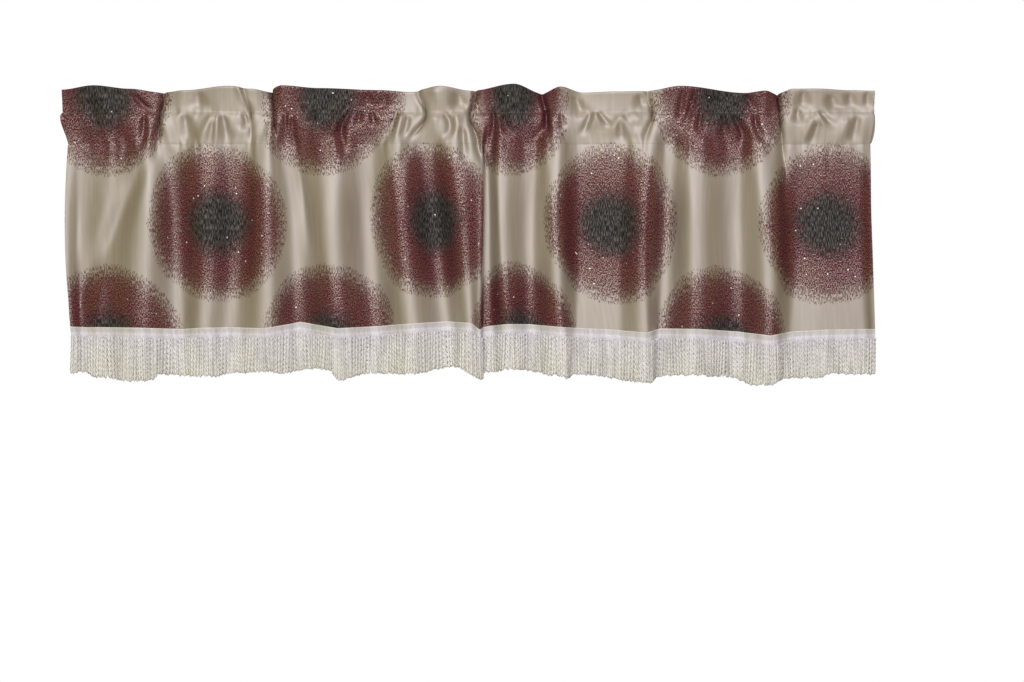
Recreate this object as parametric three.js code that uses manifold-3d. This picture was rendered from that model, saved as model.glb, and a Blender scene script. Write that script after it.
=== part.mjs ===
// A straight window valance, hanging gathered on a rod: a folded heading with a ruffle above
// a rod pocket, a skirt that falls from the pocket in uneven folds, and a bullion fringe
// whose braid is sewn along the front of the hem.
// Millimetres, +Z up, the room in front at -Y. The origin is the middle of the top edge.
import * as THREE from "three";
import Module from "manifold-3d";
import { mergeVertices } from "three/addons/utils/BufferGeometryUtils.js";

// Driving dimensions
const DROP = 457; // top edge to fringe tips
const RUFFLE = 38; // heading above the rod pocket
const POCKET = 50; // between the two rows of stitching
const POCKET_FRONT = 4; // how far the pocket's front stands off the stitching
const POCKET_BACK = 18; // and its back wall, where the rod goes
const BRAID_HEIGHT = 16;
const STRAND_LENGTH = 61;
const STRANDS = 260;
const CLOTH = 1.4; // thickness of the cloth
const SIDE_HEM = 18; // turned-in edge, where the cloth is double
const BRAID = 2.4; // thickness of the braid
const SEAM_GAP = 0.3; // between pieces that are sewn together

// Where the heading's edges hang, left and right
const RUFFLE_EDGES = [-650, 643];
const LEFT_POCKET_BULGE = 5; // both walls of the pocket's left mouth
const RIGHT_POCKET_BULGE = 7; // the back wall of its right mouth
const BULGE_REACH = 0.03; // share of the width over which a mouth flares

// Levels
const UPPER_STITCH = -RUFFLE;
const LOWER_STITCH = UPPER_STITCH - POCKET;
const BRAID_BOTTOM = STRAND_LENGTH - DROP;
const HEM = BRAID_BOTTOM + 2; // the braid hides the hem and reaches a little past it
const SKIRT_TOP = LOWER_STITCH - SEAM_GAP;

// How finely the cloth is divided
const SKIRT_STATIONS = 112;
const HEADING_STATIONS = 84;
const LINE_STEPS = 16; // by which a line of folds is measured, from knot to knot
const BRAID_TOP_LEVEL = 1 - (BRAID_BOTTOM + BRAID_HEIGHT - HEM) / (SKIRT_TOP - HEM);
const SKIRT_LEVELS = [0, 0.1, 0.22, 0.36, 0.52, 0.7, 0.86, BRAID_TOP_LEVEL, 1];

// The skirt's crests and grooves, from left to right: x at the stitching, half way down and
// at the hem, how far each stands out into the room, and how far the hem hangs below its mean.
const FOLDS = [
  { top: -641, mid: -646, hem: -636, rise: 1, drop: -1 },
  { top: -612, mid: -624, hem: -619, rise: -12, drop: 0 },
  { top: -561, mid: -580, hem: -590, rise: -2, drop: 0 },
  { top: -506, mid: -518, hem: -525, rise: 18, drop: 1 },
  { top: -477, mid: -467, hem: -463, rise: -12, drop: 3 },
  { top: -426, mid: -421, hem: -428, rise: 10, drop: 1 },
  { top: -374, mid: -371, hem: -384, rise: -9, drop: 0 },
  { top: -321, mid: -324, hem: -326, rise: 16, drop: 2 },
  { top: -291, mid: -278, hem: -272, rise: -15, drop: -9 },
  { top: -219, mid: -221, hem: -208, rise: 18, drop: 2 },
  { top: -162, mid: -160, hem: -147, rise: -17, drop: -2 },
  { top: -115, mid: -107, hem: -92, rise: 18, drop: -6 },
  { top: -69, mid: -55, hem: -37, rise: -16, drop: -10 },
  { top: -26, mid: -10, hem: 1, rise: 18, drop: -7 },
  { top: 20, mid: 18, hem: 14, rise: 9, drop: 4 },
  { top: 25, mid: 21, hem: 19, rise: -13, drop: 0 },
  { top: 32, mid: 28, hem: 30, rise: -14, drop: -2 },
  { top: 46, mid: 49, hem: 61, rise: 13, drop: -5 },
  { top: 101, mid: 96, hem: 95, rise: -12, drop: -5 },
  { top: 131, mid: 135, hem: 146, rise: 19, drop: 0 },
  { top: 174, mid: 177, hem: 169, rise: -15, drop: 1 },
  { top: 234, mid: 232, hem: 228, rise: -10, drop: 4 },
  { top: 284, mid: 275, hem: 280, rise: 14, drop: 9 },
  { top: 315, mid: 311, hem: 302, rise: -17, drop: 2 },
  { top: 353, mid: 358, hem: 359, rise: 15, drop: 3 },
  { top: 424, mid: 424, hem: 426, rise: -14, drop: 7 },
  { top: 456, mid: 472, hem: 475, rise: 19, drop: 14 },
  { top: 528, mid: 524, hem: 514, rise: -17, drop: 7 },
  { top: 568, mid: 568, hem: 566, rise: -13, drop: 4 },
  { top: 618, mid: 622, hem: 628, rise: -13, drop: 3 },
  { top: 638, mid: 644, hem: 649, rise: -22, drop: 3 },
];
const TOP_SHARE = 0.65; // of a fold's rise, where the stitching holds it
const GROOVE_TOP_SHARE = 0.35; // of a groove's depth there
const FULL_RISE_AT = 0.4; // share of the way down at which folds are fully open
const FLANK_STEEPNESS = 0.5; // from 0, a flank that eases evenly, to 1, one that drops at once

// The ruffle's puffs and pinches, from left to right: x, how far each stands out into the
// room, and how far its top edge rises above the mean.
const PUFFS = [
  { x: -650, rise: 0, lift: -1 },
  { x: -598, rise: 7, lift: 5 },
  { x: -542, rise: 3, lift: 0 },
  { x: -490, rise: -8, lift: -5 },
  { x: -455, rise: 0, lift: -2 },
  { x: -383, rise: 8, lift: 4 },
  { x: -348, rise: 3, lift: 0 },
  { x: -318, rise: -8, lift: -4 },
  { x: -300, rise: 6, lift: 5 },
  { x: -240, rise: 3, lift: 1 },
  { x: -144, rise: 1, lift: -2 },
  { x: -95, rise: -7, lift: -4 },
  { x: -49, rise: 8, lift: 4 },
  { x: 2, rise: -7, lift: -2 },
  { x: 69, rise: 10, lift: 7 },
  { x: 114, rise: -9, lift: -6 },
  { x: 143, rise: 6, lift: 3 },
  { x: 179, rise: -7, lift: -5 },
  { x: 230, rise: 0, lift: -4 },
  { x: 280, rise: -3, lift: -3 },
  { x: 334, rise: 7, lift: 4 },
  { x: 437, rise: -3, lift: -6 },
  { x: 469, rise: 3, lift: -3 },
  { x: 490, rise: -8, lift: -8 },
  { x: 512, rise: 3, lift: 0 },
  { x: 549, rise: 5, lift: 0 },
  { x: 604, rise: 0, lift: -2 },
  { x: 643, rise: 1, lift: -3 },
];
const PINCH_SHARE = 0.35; // of a puff's rise, where the upper stitching holds it
const PUCKER_SHARE = 0.2; // of a puff's rise above the deepest pinch, across the pocket's front
const DEEPEST_PINCH = Math.min(...PUFFS.map((puff) => puff.rise));

// The fringe's tips, from left to right: x, and how much longer its strands hang than the mean.
const TIPS = [
  { x: -640, extra: 2 },
  { x: -618, extra: -5 },
  { x: -602, extra: 3 },
  { x: -532, extra: 9 },
  { x: -502, extra: 6 },
  { x: -497, extra: -3 },
  { x: -408, extra: 2 },
  { x: -375, extra: -4 },
  { x: -322, extra: -7 },
  { x: -296, extra: 2 },
  { x: -226, extra: -8 },
  { x: -208, extra: 6 },
  { x: -165, extra: -1 },
  { x: -92, extra: 4 },
  { x: -20, extra: -4 },
  { x: 4, extra: 7 },
  { x: 18, extra: 3 },
  { x: 24, extra: -2 },
  { x: 62, extra: -4 },
  { x: 146, extra: 3 },
  { x: 157, extra: 4 },
  { x: 165, extra: -2 },
  { x: 280, extra: 4 },
  { x: 337, extra: -3 },
  { x: 405, extra: -3 },
  { x: 452, extra: 5 },
  { x: 500, extra: -3 },
  { x: 558, extra: 1 },
  { x: 580, extra: -6 },
  { x: 645, extra: -3 },
];

// How the heading's section is divided, as shares of the way up from stitching to stitching
const POCKET_LEVELS = [0.14, 0.36, 0.64, 0.86];
const RUFFLE_LEVELS = [0.45, 0.9];
const PINCH = 0.07; // share of a height that each row of stitching closes
const LAYER_GAP = 1; // between the two layers of the ruffle
const RUFFLE_LEAN = 6; // how far its top edge leans into the room
const BACK_SQUARENESS = 0.6; // below 1, the pocket's back is fuller than a half round
const FRONT_FULLEST = 0.75; // share of the way up at which the pocket's front stands out most
const FRONT_TURN = 2.6; // above 1, the front turns in late, close under the ruffle

// A strand of the fringe: its width along the hem and its thickness, at its root and its tip
const ROOT = { wide: 3.4, thick: 1.2 };
const TIP = { wide: 4.4, thick: 3.4 };
const ROOT_HIDDEN = 1.5; // how far a strand runs up into the braid
const ROOT_SHARE = 0.6; // of the braid's thickness, where the strands are rooted
const STRAND_SWAY = 0.5; // how far a tip hangs aside, at most
// Radians from strand to strand of the slow waves that make the strands uneven
const UNEVEN = { short: 2.4, long: 0.37, sway: 1.7 };

const wasm = await Module();
wasm.setup();

const { lerp, smoothstep } = THREE.MathUtils;

// A closed body skinned over stations. Each station is a list of loops: the outside, counter-
// clockwise, then any tunnels, clockwise. Both ends are closed with flat triangles, found in
// the plane that flatten gives.
function loft(stations, flatten) {
  const positions = [];
  const first = stations.map((loops) =>
    loops.map((loop) => {
      const start = positions.length / 3;
      loop.forEach((p) => positions.push(p.x, p.y, p.z));
      return start;
    }),
  );
  const index = [];
  for (let i = 0; i + 1 < stations.length; i++)
    stations[i].forEach((loop, k) =>
      loop.forEach((_, j) => {
        const next = (j + 1) % loop.length;
        const [a, b] = [first[i][k] + j, first[i][k] + next];
        const [d, c] = [first[i + 1][k] + j, first[i + 1][k] + next];
        const ahead = stations[i + 1][k];
        const splitsAC = loop[j].distanceTo(ahead[next]) < loop[next].distanceTo(ahead[j]);
        index.push(...(splitsAC ? [a, b, c, a, c, d] : [a, b, d, b, c, d]));
      }),
    );
  const closeEnd = (i, facesForward) => {
    const [outside, ...tunnels] = stations[i].map((loop) => loop.map(flatten));
    for (const face of THREE.ShapeUtils.triangulateShape(outside, tunnels)) {
      const [a, b, c] = face.map((n) => first[i][0] + n);
      index.push(...(facesForward ? [a, b, c] : [a, c, b]));
    }
  };
  closeEnd(0, false);
  closeEnd(stations.length - 1, true);
  const geometry = new THREE.BufferGeometry();
  geometry.setAttribute("position", new THREE.Float32BufferAttribute(positions, 3));
  geometry.setIndex(index);
  return geometry;
}

const acrossWidth = (p) => new THREE.Vector2(p.y, p.z);
const upHeight = (p) => new THREE.Vector2(p.x, p.y);

// The value at v of the parabola through a fold's three places.
function placeAt(fold, v) {
  const bend = 2 * (fold.top - 2 * fold.mid + fold.hem);
  const slope = fold.hem - fold.top - bend;
  return fold.top + slope * v + bend * v * v;
}

// A line over crests and grooves: it faces the room at each of them, with steep flanks between.
class FoldLine extends THREE.Curve {
  constructor(knots) {
    super();
    this.knots = knots;
    this.arcLengthDivisions = knots.length * LINE_STEPS;
  }

  getPoint(t, target = new THREE.Vector3()) {
    const at = t * (this.knots.length - 1);
    const i = Math.min(Math.floor(at), this.knots.length - 2);
    const [a, b] = [this.knots[i], this.knots[i + 1]];
    const eased = smoothstep(at - i, 0, 1);
    const share = lerp(eased, smoothstep(eased, 0, 1), FLANK_STEEPNESS);
    return target.lerpVectors(a, b, at - i).setY(lerp(a.y, b.y, share));
  }
}

// The line that the cloth follows at one level of the skirt, v from 0 at the stitching to 1.
function skirtLine(v) {
  const opened = smoothstep(v, 0, FULL_RISE_AT);
  const knots = FOLDS.map((fold) => {
    const held = fold.rise > 0 ? TOP_SHARE : GROOVE_TOP_SHARE;
    const rise = fold.rise * lerp(held, 1, opened);
    return new THREE.Vector3(placeAt(fold, v), -rise, lerp(SKIRT_TOP, HEM, v) - fold.drop * v);
  });
  return new FoldLine(knots);
}

// A point of that line and the level direction out of the cloth's face, at a share of its length.
function onLine(line, along) {
  const point = line.getPointAt(along);
  const tangent = line.getTangentAt(along);
  const out = new THREE.Vector3(tangent.y, -tangent.x, 0).normalize();
  return { point, out };
}

// The same between neighbouring stations, on the flat facet that joins them
function onFacet(places, along) {
  const at = along * (places.length - 1);
  const i = Math.min(Math.floor(at), places.length - 2);
  const [a, b] = [places[i], places[i + 1]];
  return {
    point: a.point.clone().lerp(b.point, at - i),
    out: a.out.clone().lerp(b.out, at - i).normalize(),
  };
}

const offset = ({ point, out }, distance) => point.clone().addScaledVector(out, distance);
const shares = (count) => Array.from({ length: count + 1 }, (_, i) => i / count);

// The skirt: one sheet, double at its two side hems
function skirt() {
  const lines = SKIRT_LEVELS.map(skirtLine);
  const width = lines.at(-1).getLength();
  return loft(
    shares(SKIRT_STATIONS).map((along) => {
      const fromEdge = Math.min(along, 1 - along) * width;
      const back = fromEdge < SIDE_HEM ? -1.5 * CLOTH : -CLOTH / 2;
      const places = lines.map((line) => onLine(line, along));
      const face = places.map((place) => offset(place, CLOTH / 2));
      const reverse = places.map((place) => offset(place, back)).reverse();
      return [[...face, ...reverse]];
    }),
    acrossWidth,
  );
}

// A smooth value along the width, read from one column of a table whose rows are sorted by x.
function valueAt(table, column, x) {
  const last = table.length - 1;
  const after = table.findIndex((row, i) => i === last || (i > 0 && row.x >= x));
  const [a, b] = [table[after - 1], table[after]];
  return lerp(a[column], b[column], smoothstep(x, a.x, b.x));
}

// One upright section of the heading: the outside and the tunnels of the ruffle and the pocket
function headingSection(along, stitching) {
  const foot = onLine(stitching, along).point;
  const headX = lerp(...RUFFLE_EDGES, along);
  const rise = valueAt(PUFFS, "rise", headX);
  const topEdge = valueAt(PUFFS, "lift", headX);
  const pinchY = -rise * PINCH_SHARE;
  const flare = {
    left: 1 - smoothstep(along, 0, BULGE_REACH),
    right: smoothstep(along, 1 - BULGE_REACH, 1),
  };

  // A point of the pocket's front or back wall, t from the lower stitching to the upper, and deep
  // the distance out from the wall's middle. The front hangs flush with the skirt below it.
  const pocketFront = (t, deep) => {
    const turned = Math.max(0, (t - FRONT_FULLEST) / (1 - FRONT_FULLEST));
    const fullness = smoothstep(t, 0, FRONT_FULLEST) * (1 - turned ** FRONT_TURN);
    const bulge = POCKET_FRONT + (rise - DEEPEST_PINCH) * PUCKER_SHARE;
    return new THREE.Vector3(
      lerp(foot.x, headX, t) - LEFT_POCKET_BULGE * flare.left * fullness,
      lerp(foot.y, pinchY, t) * (1 - fullness) - fullness * bulge - deep,
      lerp(LOWER_STITCH, UPPER_STITCH, t),
    );
  };
  const pocketBack = (t, deep) => {
    const fullness = Math.sin(Math.PI * t) ** BACK_SQUARENESS;
    const mouth = RIGHT_POCKET_BULGE * flare.right - LEFT_POCKET_BULGE * flare.left;
    return new THREE.Vector3(
      lerp(foot.x, headX, t) + mouth * fullness,
      (lerp(foot.y, pinchY, t) + CLOTH) * (1 - fullness) + fullness * POCKET_BACK + deep,
      lerp(LOWER_STITCH, UPPER_STITCH, t),
    );
  };
  const pocketMiddle = (t) => pocketFront(t, 0).lerp(pocketBack(t, 0), 0.5);
  // A point of the ruffle, t from the upper stitching to the top edge
  const rufflePoint = (t, side, deep) => {
    const spread = (Math.sin(Math.PI * t) * LAYER_GAP) / 2 + CLOTH / 2;
    const middle = lerp(pinchY, -rise, t) - RUFFLE_LEAN * t ** 2 + CLOTH / 2;
    return new THREE.Vector3(
      headX,
      middle + side * (spread + deep),
      lerp(UPPER_STITCH, topEdge, t),
    );
  };

  const half = CLOTH / 2;
  const pocketOutside = [0, ...POCKET_LEVELS, 1];
  const upFront = [
    ...pocketOutside.map((t) => pocketFront(t, half)),
    ...RUFFLE_LEVELS.map((t) => rufflePoint(t, -1, half)),
  ];
  const downBack = [
    ...RUFFLE_LEVELS.toReversed().map((t) => rufflePoint(t, 1, half)),
    ...pocketOutside.toReversed().map((t) => pocketBack(t, half)),
  ];
  const topFold = rufflePoint(1, 0, 0);
  const pocketTunnel = [
    pocketMiddle(PINCH),
    ...POCKET_LEVELS.map((t) => pocketFront(t, -half)),
    pocketMiddle(1 - PINCH),
    ...POCKET_LEVELS.toReversed().map((t) => pocketBack(t, -half)),
  ];
  const ruffleTunnel = [
    rufflePoint(PINCH, 0, 0),
    rufflePoint(0.5, -1, -half),
    rufflePoint(1 - PINCH, 0, 0),
    rufflePoint(0.5, 1, -half),
  ];
  return [
    [...upFront, topFold, ...downBack].reverse(),
    pocketTunnel,
    ruffleTunnel,
  ];
}

// The heading: the cloth's top turned to the back and sewn down in two rows
function heading() {
  const stitching = skirtLine(0);
  return loft(
    shares(HEADING_STATIONS).map((along) => headingSection(along, stitching)),
    acrossWidth,
  );
}

// A fringe strand: a three-sided lock, rooted in the braid and a little fuller at its tip
function strand(place, length, sway) {
  const root = { ...ROOT, z: BRAID_BOTTOM + ROOT_HIDDEN };
  const tip = { ...TIP, z: BRAID_BOTTOM - length };
  const across = new THREE.Vector3(-place.out.y, place.out.x, 0);
  const level = ({ wide, thick, z }, shift) =>
    [[-1, -1], [0, 1], [1, -1]].map(([w, t]) =>
      place.point
        .clone()
        .addScaledVector(across, (w * wide) / 2 + shift)
        .addScaledVector(place.out, (t * thick) / 2)
        .setZ(place.point.z - HEM + z),
    );
  return loft([[level(tip, sway)], [level(root, 0)]], upHeight);
}

function solidOf(geometry) {
  const merged = mergeVertices(geometry, 1e-4);
  return new wasm.Manifold(
    new wasm.Mesh({
      numProp: 3,
      vertProperties: merged.attributes.position.array,
      triVerts: merged.index.array,
    }),
  );
}

function geometryOf(solid) {
  const { vertProperties, triVerts } = solid.getMesh();
  const geometry = new THREE.BufferGeometry();
  geometry.setAttribute("position", new THREE.BufferAttribute(vertProperties, 3));
  geometry.setIndex(new THREE.BufferAttribute(triVerts, 1));
  return geometry;
}

// The fringe: a woven braid along the front of the hem, with the strands rooted in it
function fringe() {
  const top = skirtLine(BRAID_TOP_LEVEL);
  const bottom = skirtLine(1);
  const underside = CLOTH / 2 + SEAM_GAP;
  const toBottom = new THREE.Vector3(0, 0, BRAID_BOTTOM - HEM);
  const hemPlaces = shares(SKIRT_STATIONS).map((along) => onLine(bottom, along));
  const band = loft(
    hemPlaces.map((lower, i) => {
      const upper = onLine(top, i / SKIRT_STATIONS);
      return [
        [
          offset(upper, underside + BRAID),
          offset(lower, underside + BRAID).add(toBottom),
          offset(lower, underside).add(toBottom),
          offset(upper, underside),
        ],
      ];
    }),
    acrossWidth,
  );
  const strands = Array.from({ length: STRANDS }, (_, i) => {
    const place = onFacet(hemPlaces, (i + 0.5) / STRANDS);
    place.point = offset(place, underside + ROOT_SHARE * BRAID);
    const unevenness = Math.sin(i * UNEVEN.short) + Math.sin(i * UNEVEN.long);
    const length = STRAND_LENGTH + valueAt(TIPS, "extra", place.point.x) + unevenness;
    const sway = STRAND_SWAY * Math.sin(i * UNEVEN.sway);
    return solidOf(strand(place, length, sway));
  });
  return geometryOf(wasm.Manifold.union([solidOf(band), ...strands]));
}

const satin = new THREE.MeshStandardMaterial({ color: 0xb5aa94, roughness: 0.45, metalness: 0 });
const ivory = new THREE.MeshStandardMaterial({ color: 0xe4dfd0, roughness: 0.6, metalness: 0 });

const valance = new THREE.Group();
for (const [name, geometry, material] of [
  ["heading", heading(), satin],
  ["skirt", skirt(), satin],
  ["fringe", fringe(), ivory],
]) {
  const piece = new THREE.Mesh(geometry, material);
  piece.name = name;
  valance.add(piece);
}

export default valance;
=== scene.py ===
"""Dresses the straight valance: satin cloth with woven soft-edged dots, gathered on its rod
pocket, and an ivory braid with bullion fringe along the hem. Sizes are millimetres in the part's
frame: +X to the right as seen from the room, the room at -Y, +Z up, the top edge at zero."""

import math
from collections import namedtuple

import bpy
import numpy as np
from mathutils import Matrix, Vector


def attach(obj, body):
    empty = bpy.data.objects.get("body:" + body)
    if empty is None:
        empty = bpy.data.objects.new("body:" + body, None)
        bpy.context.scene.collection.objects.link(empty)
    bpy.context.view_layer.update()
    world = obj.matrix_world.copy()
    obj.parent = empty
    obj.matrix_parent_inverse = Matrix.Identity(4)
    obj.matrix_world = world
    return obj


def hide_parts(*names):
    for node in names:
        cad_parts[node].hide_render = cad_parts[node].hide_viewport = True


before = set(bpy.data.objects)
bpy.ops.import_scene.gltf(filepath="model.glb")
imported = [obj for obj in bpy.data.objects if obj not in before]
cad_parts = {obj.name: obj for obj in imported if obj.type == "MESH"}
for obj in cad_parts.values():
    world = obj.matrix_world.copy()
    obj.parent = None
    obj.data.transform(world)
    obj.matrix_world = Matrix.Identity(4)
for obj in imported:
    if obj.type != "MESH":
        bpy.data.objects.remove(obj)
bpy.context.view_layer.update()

MM = 0.001

# Driving sizes. Places down the cloth are distances below the top edge.
RUFFLE = 38
POCKET = 50
POCKET_FRONT = 2  # how far the pocket's front stands out into the room
POCKET_BACK = 18  # how far its back stands off behind
LOWER_STITCH = RUFFLE + POCKET
HEM = 394
SKIRT_DROP = HEM - LOWER_STITCH
BRAID_BOTTOM = 396
BRAID_HEIGHT = 16
BRAID_THICK = 1.3
STRAND_LENGTH = 61
STRANDS = 255  # in each of two rows
CLOTH = 0.9  # its thickness
FLAT_WIDTH = 1530
TURNED_DOWN = 93  # the end of the strip that is turned to the back
SIDE_HEM = 16
SEED = 7

# The skirt's crests and grooves: x at the stitching, half way down and at the hem, how far each
# stands out into the room, and how far the hem hangs below its mean.
Fold = namedtuple("Fold", "top mid hem rise drop")
FOLDS = [
    Fold(-641, -646, -636, 1, -1),
    Fold(-612, -624, -619, -12, 0),
    Fold(-561, -580, -590, -2, 0),
    Fold(-506, -518, -525, 18, 1),
    Fold(-477, -467, -463, -12, 3),
    Fold(-426, -421, -428, 10, 1),
    Fold(-374, -371, -384, -9, 0),
    Fold(-321, -324, -326, 16, 2),
    Fold(-291, -278, -272, -15, -9),
    Fold(-219, -221, -208, 18, 2),
    Fold(-162, -160, -147, -17, -2),
    Fold(-115, -107, -92, 18, -6),
    Fold(-69, -55, -37, -16, -10),
    Fold(-26, -10, 1, 18, -7),
    Fold(20, 18, 14, 9, 4),
    Fold(25, 21, 19, -13, 0),
    Fold(32, 28, 30, -14, -2),
    Fold(46, 49, 61, 13, -5),
    Fold(101, 96, 95, -12, -5),
    Fold(131, 135, 146, 19, 0),
    Fold(174, 177, 169, -15, 1),
    Fold(234, 232, 228, -10, 4),
    Fold(284, 275, 280, 14, 9),
    Fold(315, 311, 302, -17, 2),
    Fold(353, 358, 359, 15, 3),
    Fold(424, 424, 426, -14, 7),
    Fold(456, 472, 475, 19, 14),
    Fold(528, 524, 514, -17, 7),
    Fold(568, 568, 566, -13, 4),
    Fold(618, 622, 628, -13, 3),
    Fold(638, 644, 649, -22, 3),
]
TOP_SHARE = 0.65  # of a crest's rise, at the stitching
GROOVE_TOP_SHARE = 0.35  # of a groove's depth there
FULL_RISE_AT = 0.4  # of the way down
FLANK_STEEPNESS = 0.5
KNOT_STEPS = 24

# How far the fringe's tips hang below their mean.
Tip = namedtuple("Tip", "x extra")
TIPS = [
    Tip(-640, 2),
    Tip(-618, -5),
    Tip(-602, 3),
    Tip(-532, 9),
    Tip(-502, 6),
    Tip(-497, -3),
    Tip(-408, 2),
    Tip(-375, -4),
    Tip(-322, -7),
    Tip(-296, 2),
    Tip(-226, -8),
    Tip(-208, 6),
    Tip(-165, -1),
    Tip(-92, 4),
    Tip(-20, -4),
    Tip(4, 7),
    Tip(18, 3),
    Tip(24, -2),
    Tip(62, -4),
    Tip(146, 3),
    Tip(157, 4),
    Tip(165, -2),
    Tip(280, 4),
    Tip(337, -3),
    Tip(405, -3),
    Tip(452, 5),
    Tip(500, -3),
    Tip(558, 1),
    Tip(580, -6),
    Tip(645, -3),
]

# The ruffle's puffs and pinches: x, how far each stands out, and how far its top edge rises.
Puff = namedtuple("Puff", "x rise lift")
PUFFS = [
    Puff(-650, 0, -1),
    Puff(-598, 7, 5),
    Puff(-542, 3, 0),
    Puff(-490, -8, -5),
    Puff(-455, 0, -2),
    Puff(-383, 8, 4),
    Puff(-348, 3, 0),
    Puff(-318, -8, -4),
    Puff(-300, 6, 5),
    Puff(-240, 3, 1),
    Puff(-144, 1, -2),
    Puff(-95, -7, -4),
    Puff(-49, 8, 4),
    Puff(2, -7, -2),
    Puff(69, 10, 7),
    Puff(114, -9, -6),
    Puff(143, 6, 3),
    Puff(179, -7, -5),
    Puff(230, 0, -4),
    Puff(280, -3, -3),
    Puff(334, 7, 4),
    Puff(437, -3, -6),
    Puff(469, 3, -3),
    Puff(490, -8, -8),
    Puff(512, 3, 0),
    Puff(549, 5, 0),
    Puff(604, 0, -2),
    Puff(643, 1, -3),
]
PINCH_SHARE = 0.35  # of a puff's rise, at the stitching
PUCKER_SHARE = 0.12  # of it, that the pocket's front adds
DEEPEST_PINCH = min(puff.rise for puff in PUFFS)
LAYER_GAP = 1.0
RUFFLE_LEAN = 6  # of its top edge, into the room
FOLD_OVER = 2.5  # the height that the fold along the top edge takes
POCKET_SQUARENESS = 0.6
FRONT_FOLLOWS = 0.55  # the share of the folds that the pocket's front keeps where it is fullest
FULLEST_AT = 0.75  # of the way up the pocket's front
FRONT_STEEPNESS = 2.6
LEFT_BULGE = 5  # of the pocket, at its ends
RIGHT_BULGE = 7
BULGE_REACH = 0.03  # of the cloth's width

# How the rod shares the cloth out along the ruffle: place on the flat cloth, place when hung.
Share = namedtuple("Share", "flat hung")
RUFFLE_SHARES = [
    Share(-765, -650),
    Share(-694, -578),
    Share(-578, -487),
    Share(-411, -320),
    Share(-288, -236),
    Share(-167, -112),
    Share(1, 7),
    Share(84, 71),
    Share(199, 147),
    Share(365, 302),
    Share(608, 500),
    Share(765, 643),
]

# How far the pattern lies along from its even place, since more cloth is tucked into the deep
# fold than shows: place on the flat cloth, and the pattern's distance from it. It fades from
# TUCK_ENDS of the way down the skirt to the hem.
Slip = namedtuple("Slip", "flat along")
SLIPS = [
    Slip(-765, 0),
    Slip(-496, 0),
    Slip(-101, -19),
    Slip(9, -19),
    Slip(30, 13),
    Slip(294, 13),
    Slip(689, -3),
    Slip(765, -3),
]
TUCK_ENDS = 0.5

# Tight folds that run down through the heading: x at the top edge, at the two rows of stitching
# and a little below, depth at the top, in the pocket and below, width, and how far the lip beside
# the fold leans over it, positive to the right. PINCH_BOLDNESS deepens them all.
Pinch = namedtuple("Pinch", "top upper lower foot at_top at_pocket at_foot wide lean")
PINCHES = [
    Pinch(-488, -493, -499, -503, 7, 9, 6, 5, -4),
    Pinch(-360, -348, -349, -350, 3, 6, 2, 4, -3),
    Pinch(-314, -311, -310, -308, 7, 8, 3, 4, -4),
    Pinch(-82, -68, -98, -110, 4, 8, 3, 5, -4),
    Pinch(9, 0, 13, 25, 6, 9, 6, 4, -3),
    Pinch(114, 121, 127, 126, 8, 8, 3, 4, 0),
    Pinch(283, 292, 278, 270, 3, 7, 3, 5, -4),
    Pinch(492, 496, 499, 500, 7, 9, 7, 4, -4),
]

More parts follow.
